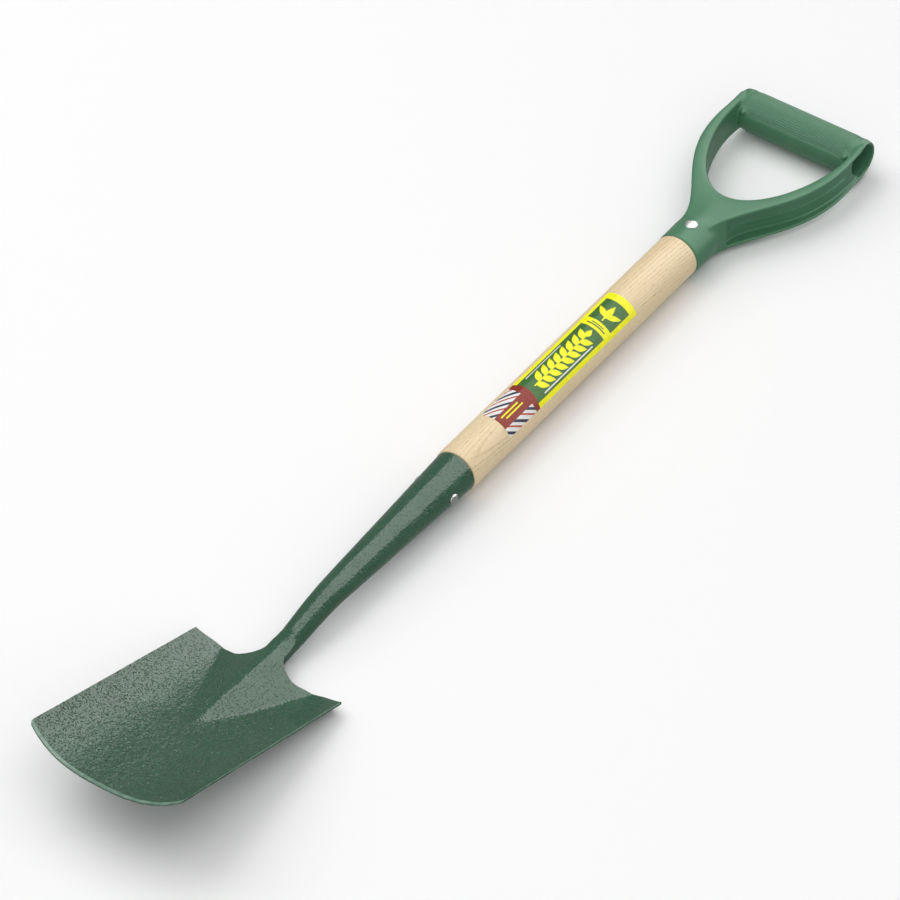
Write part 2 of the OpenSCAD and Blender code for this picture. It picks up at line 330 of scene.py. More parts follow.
def steel_material(name, colour, rough, wear_size):
    """Upset rivet steel: small hammer marks and fine scratches."""
    material, tree, shader = new_material(name, colour, rough)
    shader.inputs["Metallic"].default_value = 1.0
    at = place_nodes(tree)
    darker = tuple(c * 0.7 for c in colour)
    shade = mix_colour(tree, level(tree, noise(tree, at, wear_size, detail=4), 0.4, 0.7), colour, darker)
    tree.links.new(shade, shader.inputs["Base Color"])
    height = math_node(tree, "ADD", noise(tree, at, 1.4, detail=2),
                       math_node(tree, "MULTIPLY", noise(tree, at, 0.25, detail=2), 0.25))
    bump(tree, shader, height, 0.10)
    gloss = level(tree, noise(tree, at, 0.9, detail=3), 0.3, 0.7, rough - 0.06, rough + 0.12)
    tree.links.new(gloss, shader.inputs["Roughness"])
    return material


def print_material(name, colour):
    """Printed vinyl film: a thin clear gloss over slightly uneven ink."""
    material, tree, shader = new_material(name, colour, 0.28)
    shader.inputs["Specular IOR Level"].default_value = 0.25
    at = place_nodes(tree)
    darker = tuple(c * 0.88 for c in colour)
    shade = mix_colour(tree, level(tree, noise(tree, at, 3.5, detail=5), 0.35, 0.7), colour, darker)
    tree.links.new(shade, shader.inputs["Base Color"])
    bump(tree, shader, noise(tree, at, 6, detail=3), 0.05)
    gloss = level(tree, noise(tree, at, 8, detail=2), 0.3, 0.7, 0.22, 0.34)
    tree.links.new(gloss, shader.inputs["Roughness"])
    return material


# ---------------------------------------------------------------- blade, frog, neck and socket

# Blade frame: u across, v up the blade from the line between its bottom corners, h out of its face
CORNER_Y, CORNER_Z = -435.7, 51.6
TILT = math.radians(17.8)
EDGE_HALF, TOP_HALF = 69.8, 68.6
BLADE_LEN, PLATE_T = 204.0, 2.0
DISH_BOTTOM, DISH_TOP, EDGE_BOW = 16.4, 10.6, 7.8
FROG_V, FROG_H = 112.0, -13.6
FROG_RISE, FROG_FALL, CREST_R = 0.25, 0.48, 5.0
BEVEL_W, BEVEL_H = 3.0, 0.9
RIM_R = 0.45
NECK_HALF, FILLET_R, CORNER_R = 9.0, 9.5, 2.5


def blade_points(u, v, h):
    """Places in the shaft frame from the blade's own u, v and h."""
    y = CORNER_Y + v * math.cos(TILT) + h * math.sin(TILT)
    z = CORNER_Z - v * math.sin(TILT) + h * math.cos(TILT)
    return np.stack([u, y, z], -1)


def half_width(v):
    """The sides taper a little towards the top."""
    return mix(EDGE_HALF, TOP_HALF, v / BLADE_LEN)


def front_height(u, v):
    """The dished face with the frog: two flanks that rise to a rounded crest, which runs into the neck."""
    along = v / BLADE_LEN
    across = np.minimum(1, np.abs(u) / half_width(v))
    dish = -mix(DISH_BOTTOM, DISH_TOP, along) * (1 - across ** mix(3.1, 2.5, along))
    frog = FROG_H + FROG_RISE * (v - FROG_V) - FROG_FALL * (np.sqrt(u * u + CREST_R ** 2) - CREST_R)
    return round_max(dish, frog, 1.2)


def arc(t, r):
    """Rise of a quarter circle of radius r, t being 0 where it starts level and 1 where it stands upright."""
    return r * (1 - np.sqrt(1 - np.clip(t, 0, 1) ** 2))


def bottom_v(u):
    """Cutting edge: bowed, with a small radius at both corners."""
    corner = arc(1 - (EDGE_HALF - np.abs(u)) / CORNER_R, CORNER_R)
    return corner - EDGE_BOW * (1 - (u / EDGE_HALF) ** 2)


def back_height(u, v):
    """The back: plain, with the hollow ridge behind the frog, which runs into the underside of the neck."""
    plain = front_height(u, v) - PLATE_T
    ridge = mix(-15.6, -13.5, (v - FROG_V) / 91) + u * u / 11 + 8.5 * smooth_step((v - 199) / 19)
    return np.where(v < 80, plain, np.minimum(plain, round_min(plain, ridge, 1.5)))


def top_v(u):
    """Top edge: a slight rise on each shoulder, a dip beside the neck, then a fillet up into the neck."""
    a = np.abs(u)
    shoulder = 3.0 * np.exp(-((a - 50) / 14) ** 2)
    dip = 4.0 * np.exp(-((a - 26) / 10) ** 2)
    return BLADE_LEN + shoulder - dip + arc(1 - (a - NECK_HALF) / FILLET_R, FILLET_R)


def blade_columns():
    """Places across the blade, and the numbers of the two that bound the neck.

    They lie close together in the neck's width, round its fillets and round the corners.
    """
    neck = NECK_HALF * np.sin(np.linspace(-math.pi / 2, math.pi / 2, 33))
    fillet = NECK_HALF + FILLET_R * (1 - np.cos(np.linspace(0, math.pi / 2, 17)[1:]))
    flat = np.linspace(fillet[-1], EDGE_HALF - CORNER_R, 48)[1:]
    corner = EDGE_HALF - CORNER_R * (1 - np.sin(np.linspace(0, math.pi / 2, 13)[1:]))
    outer = np.concatenate([fillet, flat, corner])
    first = len(outer)
    return np.concatenate([-outer[::-1], neck, outer]), first, first + len(neck) - 1


# Neck and socket, from the blade to the mouth: y, centre z, half-width, half-height
NECK_RINGS = np.array([
    [-250, -12.4, 8.5, 9.4], [-240, -12.0, 8.7, 9.6], [-228, -10.4, 8.9, 9.3], [-218, -8.6, 9.2, 9.5],
    [-208, -6.8, 9.6, 9.8], [-198, -4.9, 10.0, 10.1], [-188, -3.0, 10.3, 10.4], [-178, -1.4, 10.6, 10.7],
    [-168, -0.3, 11.0, 11.0], [-158, 0.0, 11.42, 11.42], [0, 0, 18.1, 18.1]])


def make_blade_head(material, painted_highlight_material):
    """The forging in one skin: front and back sheets, the rim between them, then rings up to the mouth."""
    columns, left, right = blade_columns()
    heights = np.concatenate([[0, 0.005, 0.0125, 0.0165], np.linspace(0.022, 0.985, 150), [0.993, 1.0]])
    points = []

    def put(batch):
        start = len(points)
        points.extend(np.atleast_2d(batch).tolist())
        return list(range(start, len(points)))

    def sheet(height_of):
        numbers = []
        for t in heights:
            v = mix(bottom_v(columns) + RIM_R, top_v(columns) - RIM_R, t)
            u = columns * (half_width(v) - RIM_R) / EDGE_HALF
            u = np.where(np.abs(columns) <= NECK_HALF, columns, u)
            numbers.append(put(blade_points(u, v, height_of(u, v))))
        return np.array(numbers)

    def bevelled_height(u, v):
        return front_height(u, v) - BEVEL_H * np.clip(1 - (v - bottom_v(u)) / BEVEL_W, 0, 1)

    front, back = sheet(bevelled_height), sheet(back_height)
    faces = loft_faces(front.tolist()) + loft_faces([list(r) for r in back[::-1]])

    # The rim: from the neck's right side round the blade to its left side, with a rounded edge
    def rim_of(grid):
        top_right = grid[-1, right:].tolist()
        side_right = grid[-2:0:-1, -1].tolist()
        bottom = grid[0, ::-1].tolist()
        side_left = grid[1:-1, 0].tolist()
        top_left = grid[-1, :left + 1].tolist()
        return top_right + side_right + bottom + side_left + top_left

    rim_front, rim_back = rim_of(front), rim_of(back)
    all_points = np.array(points)
    middle = (all_points[rim_front] + all_points[rim_back]) / 2
    along = np.gradient(middle, axis=0)
    thick = all_points[rim_front] - all_points[rim_back]
    outward = np.cross(along, thick)
    outward *= RIM_R / np.linalg.norm(outward, axis=1, keepdims=True)
    rim_rows = [rim_front]
    for share in (0.75, 0.5, 0.25):
        bulge = math.sqrt(1 - (2 * share - 1) ** 2)
        rim_rows.append(put(all_points[rim_back] + thick * share + outward * bulge))
    rim_rows.append(rim_back)

    # Painted highlight: paler enamel on the bevel, the rim below it, the front corner of the two long sides
    # and a narrow strip along the right one, standing in for the light line along these edges
    across, bevel_rows, strip_w = len(columns) - 1, 2, 1.0
    painted_highlight_faces = list(range(bevel_rows * across))
    strip = np.flatnonzero(columns[:-1] > EDGE_HALF - strip_w)
    painted_highlight_faces += [row * across + column for row in range(bevel_rows, len(heights) - 2) for column in strip]
    side_start, side_end = len(columns) - right, len(rim_front) - left - 1
    for row in (0, 1):
        first_face = len(faces) + row * (len(rim_front) - 1)
        painted_highlight_faces += range(first_face + side_start, first_face + side_end)
    faces += loft_faces(rim_rows)

    # The neck's first ring: the front sheet's top, down the right rim, the back sheet's top, up the left rim
    ring = front[-1, left:right + 1].tolist()
    ring += [row[0] for row in rim_rows[1:-1]]
    ring += back[-1, left:right + 1][::-1].tolist()
    ring += [row[-1] for row in rim_rows[-2:0:-1]]
    first = np.array(points)[ring]
    centre = first.mean(axis=0)
    centre[2] = (first[:, 2].max() + first[:, 2].min()) / 2
    spread = np.unwrap(np.arctan2(first[:, 2] - centre[2], first[:, 0]))
    even = np.linspace(spread[0], spread[0] - 2 * math.pi, len(ring), endpoint=False)
    # The first ring's shape gives way to the round neck's, and its points spread out evenly
    shape_blend, spread_blend, lift = 22, 60, 0.17
    distances = np.concatenate([np.arange(1.5, spread_blend, 1.5),
                                np.arange(spread_blend, -centre[1] - 0.6, 2.5)])
    previous = ring
    for distance in distances:
        y = centre[1] + distance
        middle_z, half_x, half_z = (np.interp(y, NECK_RINGS[:, 0], NECK_RINGS[:, k]) for k in (1, 2, 3))
        angle = mix(spread, even, smooth_step(distance / spread_blend))
        round_ring = np.stack([half_x * np.cos(angle), np.full(len(ring), y),
                               middle_z + half_z * np.sin(angle)], -1)
        moved = first + np.array([0, distance, lift * distance])
        current = put(mix(moved, round_ring, smooth_step(distance / shape_blend)))
        faces += strip_faces(previous, current, closed=True)
        previous = current

    # Rounded mouth, then the tapered bore that holds the shaft
    mouth_r = NECK_RINGS[-1, 2]
    bore = [(mouth_r - 0.12, -0.25), (mouth_r - 0.5, 0.0), (16.2, 0.0), (15.95, -0.4), (15.2, -18),
            (12.8, -80), (9.6, -159)]
    for radius, y in bore:
        current = put(np.stack([radius * np.cos(even), np.full(len(ring), y), radius * np.sin(even)], -1))
        faces += strip_faces(previous, current, closed=True)
        previous = current
    faces.append(tuple(previous))

    points = np.array(points)
    dents = ripples(points, 26, 0.10, seed=3) + ripples(points, 9, 0.035, seed=4)
    fade = smooth_step((-points[:, 1] - 2) / 20) * (1 - smooth_step((-points[:, 1] - 430) / 12))
    points[:, 2] += dents * fade
    head = make_piece("blade_head_forging", points, faces, material, "blade_head", 50)
    # The second material paints a highlight on the faces listed above
    head.data.materials.append(painted_highlight_material)
    for face in painted_highlight_faces:
        head.data.polygons[face].material_index = 1
    return head


# ---------------------------------------------------------------- shaft, rivets

INSERT_LEN, TENON_LEN, TENON_R = 157.9, 33.0, 15.4
SOCKET_RIVET_Y, HANDLE_RIVET_Y = -26, FERRULE_Y + 19


def make_shaft(material):
    """The bare shaft with its tapered insert in the socket and its tenon in the ferrule."""
    r = SHAFT_R
    end = FERRULE_Y
    body = [(r - 1.0, 0.06), (r - 0.35, 0.35), (r, 1.1)]
    body += [(r, y) for y in np.linspace(8, end - 6, 60)]
    body += [(r, end - 1.0), (r - 0.3, end - 0.3), (r - 0.7, end - 0.06)]
    tip = [(0, -INSERT_LEN), (9.0, -INSERT_LEN), (9.45, 0.5 - INSERT_LEN), (15.75, 0.05)]
    tenon = [(TENON_R, end - 0.05), (TENON_R, end + TENON_LEN - 0.6), (TENON_R - 0.6, end + TENON_LEN),
             (0, end + TENON_LEN)]
    points, faces = lathe(tip + body + tenon, around=128)
    return make_piece("ash_shaft", points, faces, material, "shaft")


def make_rivet(name, node, material, seat_r, head_r, head_h, y, axis):
    """Domed heads at both ends, whose rims follow the round surface that they sit on."""
    rim_h = math.sqrt(seat_r ** 2 - head_r ** 2)
    dome = [(head_r * math.sin(a), seat_r + 0.25 + (head_h - 0.25) * math.cos(a))
            for a in np.linspace(0, math.pi / 2, 9)]
    half = dome + [(head_r, (rim_h + seat_r) / 2 - 0.3), (head_r - 0.2, rim_h - 0.35), (2.45, rim_h - 0.5)]
    profile = half + [(r, -h) for r, h in half[::-1]]
    points, faces = lathe(profile, around=64, axis=axis)
    points = points + np.array([0, y, 0])
    points[:, 0] += 0.06 * np.sin(points[:, 2] * 2.1)
    return make_piece(name, points, faces, material, node, 50)


# ---------------------------------------------------------------- D-handle, from a distance field

ARM_HALF, CHANNEL_HALF = 16.7, 13.1
OPEN_HALF, ARM_END = 54.0, 60.4
HOLLOW_R, WEB_HALF = 13.6, 2.5
FERRULE_R, FERRULE_THROAT_R, FERRULE_LEN = 19.4, 14.6, 56
TENON_BORE_R, TENON_BORE_LEN = 15.5, 34
BEAD_Z, BEAD_LOW_Z, BEAD_R = -2.5, -12.5, 1.3
BOSS_X, BOSS_OUT, BOSS_R, BOSS_TURN = 49.3, 16.9, 2.1, math.radians(31)


def bezier(control, steps=24):
    """Points of a cubic curve from its four control points."""
    t = np.linspace(0, 1, steps + 1)[:, None]
    c = np.array(control, float)
    return (1 - t) ** 3 * c[0] + 3 * (1 - t) ** 2 * t * c[1] + 3 * (1 - t) * t ** 2 * c[2] + t ** 3 * c[3]


def side(*pairs):
    """Points beside the shaft's axis, given as x and the distance from the ferrule's mouth."""
    return [(x, FERRULE_Y + y) for x, y in pairs]


ARM_OUTSIDE = bezier(side((15.5, 36), (29.7, 71.6), (64.4, 96.3), (62.6, 157)))
ARM_INSIDE = bezier(side((0, 69), (27, 69), (52.4, 118), (OPEN_HALF, 159)))
CHANNEL_FLOOR = bezier(side((13.5, 44), (15, 80), (54, 88), (57.4, 159)))


def polygon_distance(x, y, corners):
    """Signed distance to a polygon in the plane, negative inside."""
    corners = np.array(corners, float)
    best = np.full(x.shape, 1e9)
    inside = np.zeros(x.shape, bool)
    for a, b in zip(corners, np.roll(corners, -1, axis=0)):
        edge = b - a
        length = edge @ edge
        if length < 1e-12:
            continue
        t = np.clip(((x - a[0]) * edge[0] + (y - a[1]) * edge[1]) / length, 0, 1)
        best = np.minimum(best, (x - a[0] - t * edge[0]) ** 2 + (y - a[1] - t * edge[1]) ** 2)
        crosses = (a[1] > y) != (b[1] > y)
        if edge[1]:
            inside ^= crosses & (x < a[0] + (y - a[1]) * edge[0] / edge[1])
    return np.where(inside, -1, 1) * np.sqrt(best)


def mirrored_outline(half):
    """A closed outline from its right half."""
    return half + [(-x, y) for x, y in half][::-1]


def handle_field(step):
    """Distance field of the handle on a grid with the given step, and the place of the grid's corner."""
    xs = np.arange(step / 2, 66, step)
    ys = np.arange(FERRULE_Y - 2.5, GRIP_Y + GRIP_R + 2.5, step)
    layers = int(44 / step)
    zs = (np.arange(layers) - (layers - 1) / 2) * step
    x2, y2 = np.meshgrid(xs, ys, indexing="ij")
    outer_right = side((12.5, 27)) + ARM_OUTSIDE.tolist() + side((62, 168), (61.4, 176)) + [(ARM_END, GRIP_Y)]
    outer = polygon_distance(x2, y2, mirrored_outline(outer_right))
    opening = polygon_distance(x2, y2, mirrored_outline(ARM_INSIDE.tolist() + [(OPEN_HALF, GRIP_Y)]))
    floor_line = CHANNEL_FLOOR.tolist()
    beyond = [(floor_line[-1][0], GRIP_Y), (90, GRIP_Y), (90, floor_line[0][1])]
    channel = polygon_distance(x2, y2, floor_line + beyond)
    outer, opening, channel = (f[:, :, None] for f in (outer, opening, channel))
    x, y, z = xs[:, None, None], ys[None, :, None], zs[None, None, :]
    from_mouth = y - FERRULE_Y
    round_grip = np.sqrt((y - GRIP_Y) ** 2 + z ** 2)
    round_shaft = np.sqrt(x ** 2 + z ** 2)

    # The arms with the discs at their ends, less the hand opening, joined to the ferrule
    end_disc = round_max(round_grip - GRIP_R, x - ARM_END, 1.4)
    end_disc = round_max(end_disc, OPEN_HALF - 1.0 - x, 0.5)
    arms = round_min(round_max(outer, np.abs(z) - ARM_HALF, 2.0), end_disc, 2.0)
    arms = round_max(arms, -opening, 3.4)
    taper = mix(FERRULE_R, FERRULE_THROAT_R, smooth_step((from_mouth - 20) / 30))
    ferrule = round_max(round_shaft - taper, 0.1 - from_mouth, 0.5)
    ferrule = round_max(ferrule, from_mouth - FERRULE_LEN, 3.0)
    body = round_min(arms, ferrule, 3.0)

    # The channel outside each arm, open into the grip's hollow
    hollow = round_max(round_grip - HOLLOW_R, WEB_HALF - x, 1.5)
    trough = round_max(channel, np.abs(z) - CHANNEL_HALF, 1.8)
    trough = round_min(trough, round_max(hollow, 50 - x, 1.0), 1.2)
    body = round_max(body, -trough, 1.2)

    # The grip, a little thinner inside the arms
    thinner = 0.05 + 0.4 * smooth_step((x - 50) / 3)
    grip = round_max(round_grip - GRIP_R + thinner, x - OPEN_HALF - 1.0, 1.0)
    body = round_min(body, grip, 1.4)

    # A bead along the channel's floor, and a boss at each end of the grip
    bead_z = mix(BEAD_LOW_Z, BEAD_Z, smooth_step((from_mouth - 44) / 16))
    bead = np.sqrt(channel ** 2 + (z - bead_z) ** 2) - BEAD_R
    bead = round_max(bead, y - GRIP_Y + 26, 1.0)
    bead = round_max(bead, 45 - from_mouth, 1.0)
    body = round_min(body, bead, 1.0)
    boss_y, boss_z = GRIP_Y - BOSS_OUT * math.cos(BOSS_TURN), BOSS_OUT * math.sin(BOSS_TURN)
    boss = np.sqrt((x - BOSS_X) ** 2 + (y - boss_y) ** 2 + (z - boss_z) ** 2) - BOSS_R
    body = round_min(body, boss, 0.8)

    # The grip's hollow, the bore for the tenon, and a limit at the grip's far side
    body = round_max(body, -hollow, 0.8)
    bore = round_max(round_shaft - TENON_BORE_R, from_mouth - TENON_BORE_LEN, 0.5)
    body = round_max(body, -bore, 0.5)
    body = np.maximum(body, y - GRIP_Y - GRIP_R)
    return np.concatenate([body[::-1], body]), np.array([-xs[-1], ys[0], zs[0]])


def surface_net(field, corner, step):
    """Quads over the field's zero surface: one point per cell that the surface crosses."""
    inside = field < 0
    total = np.zeros(tuple(n - 1 for n in field.shape) + (3,), np.float32)
    count = np.zeros(total.shape[:3], np.float32)
    shifts = [(i, j, k) for i in (0, 1) for j in (0, 1) for k in (0, 1)]

    def part(array, shift):
        return array[tuple(slice(s, n - 1 + s) for s, n in zip(shift, array.shape))]

    for a in shifts:
        for axis in range(3):
            if a[axis]:
                continue
            b = tuple(s + (i == axis) for i, s in enumerate(a))
            fa, fb = part(field, a), part(field, b)
            cut = part(inside, a) != part(inside, b)
            t = np.where(cut, fa / np.where(cut, fa - fb, 1), 0)
            for i in range(3):
                total[..., i] += np.where(cut, a[i] + (t if i == axis else 0), 0)
            count += cut
    cells = count > 0
    number = np.full(cells.shape, -1, np.int64)
    number[cells] = np.arange(cells.sum())
    points = (np.argwhere(cells) + total[cells] / count[cells][:, None]) * step + corner
    faces = []
    for axis in range(3):
        b, c = [i for i in range(3) if i != axis]
        first = [slice(None)] * 3
        second = [slice(None)] * 3
        first[axis], second[axis] = slice(None, -1), slice(1, None)
        cut = np.argwhere(inside[tuple(first)] != inside[tuple(second)])
        cut = cut[(cut[:, b] > 0) & (cut[:, c] > 0)]
        cut = cut[(cut[:, b] < field.shape[b] - 1) & (cut[:, c] < field.shape[c] - 1)]
        quads = []
        for db, dc in ((1, 1), (0, 1), (0, 0), (1, 0)):
            cell = cut.copy()
            cell[:, b] -= db
            cell[:, c] -= dc
            quads.append(number[tuple(cell.T)])
        faces.append(np.stack(quads, -1))
    return points, np.concatenate(faces)


def make_handle(material):
    step = 0.65
    field, corner = handle_field(step)
    points, faces = surface_net(field, corner, step)
    return make_piece("d_handle_moulding", points, faces, material, "d_handle", 60)


KNURL_PITCH, STUD_H = 2.0, 0.60
KNURL_HALF_X, KNURL_HALF_TURN = 47.5, math.radians(150)


def knurl_material():
    """The handle's plastic, with painted shade in the grooves between the studs."""
    material, tree, shader = new_material("knurled_plastic", (0.065, 0.19, 0.105), 0.36)
    shader.inputs["Specular IOR Level"].default_value = 0.35
    at = place_nodes(tree)
    off_axis = add(tree, "ShaderNodeVectorMath", {0: at}, operation="SUBTRACT")
    off_axis.inputs[1].default_value = (0, GRIP_Y + ORIGIN.y / MM, ORIGIN.z / MM)
    apart = add(tree, "ShaderNodeSeparateXYZ", {"Vector": off_axis.outputs[0]})
    angle = math_node(tree, "ARCTAN2", apart.outputs["Z"], apart.outputs["Y"])
    waves = []
    for place, per_unit in ((apart.outputs["X"], 1), (angle, GRIP_R)):
        turn = math_node(tree, "MULTIPLY", place, per_unit * math.pi / KNURL_PITCH)
        waves.append(math_node(tree, "ABSOLUTE", math_node(tree, "SINE", turn)))
    stud = math_node(tree, "MULTIPLY", waves[0], waves[1])
    # Painted shade: the colour darkens from the studs' tops down into the grooves
    shade = mix_colour(tree, level(tree, stud, 0.05, 0.60), (0.040, 0.125, 0.068), (0.076, 0.215, 0.119))
    tree.links.new(shade, shader.inputs["Base Color"])
    return material


def make_knurl(material):
    """The grip's fine knurl: rows of small studs on a thin shell that stands just proud of the plain grip."""
    per_stud = 5
    rows = int(2 * KNURL_HALF_X / KNURL_PITCH * per_stud)
    around = int(2 * KNURL_HALF_TURN * GRIP_R / KNURL_PITCH * per_stud)
    x = np.linspace(-KNURL_HALF_X, KNURL_HALF_X, rows + 1)
    angle = np.linspace(-KNURL_HALF_TURN, KNURL_HALF_TURN, around + 1)
    gx, ga = np.meshgrid(x, angle, indexing="ij")
    studs = np.abs(np.sin(gx * math.pi / KNURL_PITCH)) * np.abs(np.sin(ga * GRIP_R * math.pi / KNURL_PITCH))
    edge = np.minimum(KNURL_HALF_X - np.abs(gx), (KNURL_HALF_TURN - np.abs(ga)) * GRIP_R)

    def shell(radius):
        return np.stack([gx, GRIP_Y + radius * np.cos(ga), radius * np.sin(ga)], -1).reshape(-1, 3)

    lift = (0.02 + STUD_H * studs) * smooth_step(edge / 0.8)
    top = shell(GRIP_R - 0.10 + lift - 0.6 * (edge < 0.05))
    under = shell(GRIP_R - 1.2)
    grid = np.arange(top.shape[0]).reshape(rows + 1, around + 1)
    lower = grid + len(top)
    faces = loft_faces(grid.tolist()) + loft_faces(lower[::-1].tolist())
    border = grid[0].tolist() + grid[1:, -1].tolist() + grid[-1, -2::-1].tolist() + grid[-2:0:-1, 0].tolist()
    faces += strip_faces(border, [b + len(top) for b in border], closed=True)
    return make_piece("grip_knurl", np.concatenate([top, under]), faces, material, None, 60)


# ---------------------------------------------------------------- label

LABEL_Y = (label_low.y - ORIGIN.y) / MM
LABEL_LEN = (label_high.y - label_low.y) / MM
LABEL_TURN, LABEL_WRAP = math.radians(17.5), math.radians(97)
LABEL_WIDE = LABEL_WRAP * SHAFT_R


def wrap_on_shaft(s, t, depth):
    """A place on the label, s across and t along it, lifted by depth from the bare wood."""
    angle = LABEL_TURN + (s / LABEL_WIDE - 0.5) * LABEL_WRAP
    radius = SHAFT_R + depth
    return (radius * math.sin(angle), LABEL_Y + t, radius * math.cos(angle))


def film(name, shapes, low, high, material):
    """Flat outlines given as (s, t) points, made into thin films that follow the shaft."""
    work = bmesh.new()
    for shape in shapes:
        work.faces.new([work.verts.new((s, t, 0)) for s, t in shape])
    cuts = [((cut, 0, 0), (1, 0, 0)) for cut in np.arange(1.2, LABEL_WIDE, 1.2)]
    cuts += [((0, cut, 0), (0, 1, 0)) for cut in np.arange(6, LABEL_LEN, 6)]
    for place, normal in cuts:
        everything = work.verts[:] + work.edges[:] + work.faces[:]
        bmesh.ops.bisect_plane(work, geom=everything, dist=1e-5, plane_co=place, plane_no=normal)
    grown = bmesh.ops.extrude_face_region(work, geom=work.faces[:])["geom"]
    raised = {v for v in grown if isinstance(v, bmesh.types.BMVert)}
    for v in work.verts:
        v.co = wrap_on_shaft(v.co.x, v.co.y, high if v in raised else low)
    work.verts.index_update()
    points = [tuple(v.co) for v in work.verts]
    faces = [[v.index for v in f.verts] for f in work.faces]
    work.free()
    return make_piece(name, points, faces, material, None, 30)


def box_shape(s0, t0, s1, t1):
    return [(s0, t0), (s1, t0), (s1, t1), (s0, t1)]


def leaf_shape(s, t, length, width, turn, steps=12):
    """A pointed leaf that starts at (s, t) and grows along the given angle from +t towards +s."""
    a = np.linspace(0, 1, steps + 1)
    half = width / 2 * np.sin(math.pi * a ** 0.8)
    outline = [(h, length * k) for k, h in zip(a, half)]
    outline += [(-h, length * k) for k, h in zip(a[-2:0:-1], half[-2:0:-1])]
    ca, sa = math.cos(turn), math.sin(turn)
    return [(s + x * ca + y * sa, t - x * sa + y * ca) for x, y in outline]


def wave_edge(t0, s0, s1, height, steps=14):
    """Points of a gently waving line across the label."""
    s = np.linspace(s0, s1, steps + 1)
    return [(float(k), t0 + height * math.sin((k - s0) / (s1 - s0) * math.pi * 1.3)) for k in s]


def clip_along(shape, low, high):
    """The part of an outline between two places along the label."""
    for limit, sign in ((low, 1), (high, -1)):
        kept = []
        for a, b in zip(shape, shape[1:] + shape[:1]):
            da, db = sign * (a[1] - limit), sign * (b[1] - limit)
            if da >= 0:
                kept.append(a)
            if da * db < 0:
                k = da / (da - db)
                kept.append((mix(a[0], b[0], k), limit))
        shape = kept
    return shape


def slanted_stripes(s0, s1, width, first, pitch, slope, low, high):
    """Parallel slanted stripes between s0 and s1, cut off at low and high."""
    stripes = []
    rise = slope * (s1 - s0)
    for t in np.arange(first, high, pitch):
        shape = clip_along([(s0, t), (s1, t + rise), (s1, t + rise + width), (s0, t + width)], low, high)
        if len(shape) > 2:
            stripes.append(shape)
    return stripes


# Places on the label: the green panels' sides and ends, the white band's waving end, the end of its
# stripes, and the sides of the red panel on it
PANEL_S0, PANEL_S1 = 4.0, 27.9
LONG_PANEL_END, SQUARE_PANEL_START, SQUARE_PANEL_END = 131.1, 140.4, 166.7
BAND_T, STRIPES_T, BAND_WAVE = 42.0, 36.0, 1.6
RED_S0, RED_S1 = 12.4, 24.4


def make_label():
    """The printed film: a yellow ground, green panels with leaf marks, and a band of coloured stripes."""
    yellow = print_material("print_yellow", (0.95, 0.92, 0.003))
    green = print_material("print_green", (0.050, 0.150, 0.035))
    white = print_material("print_white", (0.82, 0.82, 0.80))
    red = print_material("print_red", (0.25, 0.026, 0.014))
    orange = print_material("print_orange_red", (0.48, 0.070, 0.030))
    navy = print_material("print_navy", (0.03, 0.035, 0.07))
    wide, s0, s1 = LABEL_WIDE, PANEL_S0, PANEL_S1
    middle = (s0 + s1) / 2
    base = film("label_film", [box_shape(0, 0, wide, LABEL_LEN)], 0.05, 0.20, yellow)
    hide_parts("label")
    panels = [box_shape(s0, SQUARE_PANEL_START, s1, SQUARE_PANEL_END), box_shape(s0, 40, s1, LONG_PANEL_END)]
    film("label_panels", panels, 0.18, 0.215, green)
    band_top = wave_edge(BAND_T, 0, wide, BAND_WAVE)
    film("label_band", [[(0, 0), (wide, 0)] + band_top[::-1]], 0.18, 0.222, white)

    # Sprout emblem in the square panel
    emblem = [leaf_shape(middle, 145, 17, 5.5, 0.0), leaf_shape(middle, 147, 14.5, 5.2, 0.85),
              leaf_shape(middle, 147, 14.5, 5.2, -0.85), box_shape(middle - 0.5, 142.5, middle + 0.5, 147)]
    film("label_emblem", emblem, 0.20, 0.230, yellow)

    # A sprig of leaves along the long panel, and plain rules beside and above it
    leaves = [box_shape(middle - 0.55, 50, middle + 0.55, 122)]
    for t in np.arange(52, 118, 8.5):
        leaves.append(leaf_shape(middle, t, 12.0, 5.6, 0.75))
        leaves.append(leaf_shape(middle, t + 4.2, 12.0, 5.6, -0.75))
    leaves.append(leaf_shape(middle, 120, 9.0, 4.8, 0.0))
    film("label_sprig", leaves, 0.20, 0.230, yellow)
    rules = [box_shape(s1 - 3.0, 52, s1 - 1.9, 118), box_shape(s0 + 1.5, 52, s0 + 2.4, 100)]
    film("label_rules", rules, 0.20, 0.228, white)
    short_rules = [box_shape(s0 + 3, 134.2, s1 - 3, 135.5), box_shape(s0 + 6, 136.6, s1 - 6, 137.6)]
    film("label_short_rules", short_rules, 0.18, 0.215, green)

    # A plain red panel on the white band, slanted stripes on both sides of it and two dashes on it
    red_panel = box_shape(RED_S0, 0.0, RED_S1, STRIPES_T)
    red_border = [(0, STRIPES_T), (wide, STRIPES_T)] + band_top[::-1]
    film("label_red", [red_panel, red_border], 0.20, 0.232, red)
    pitch, slope = 17, 1.5
    for name, stripe_w, first, ink in (("label_thin_red", 2.6, -22, orange), ("label_navy", 4.2, -15, navy)):
        stripes = slanted_stripes(0, RED_S0, stripe_w, first, pitch, slope, 0, STRIPES_T)
        stripes += slanted_stripes(RED_S1, wide, stripe_w, first + 8, pitch, slope, 0, STRIPES_T)
        film(name, stripes, 0.20, 0.232, ink)
    film("label_dashes", [box_shape(15.2, 5, 16.4, 27), box_shape(18.2, 8, 19.4, 30)], 0.225, 0.24, yellow)


# ---------------------------------------------------------------- stage, light, camera

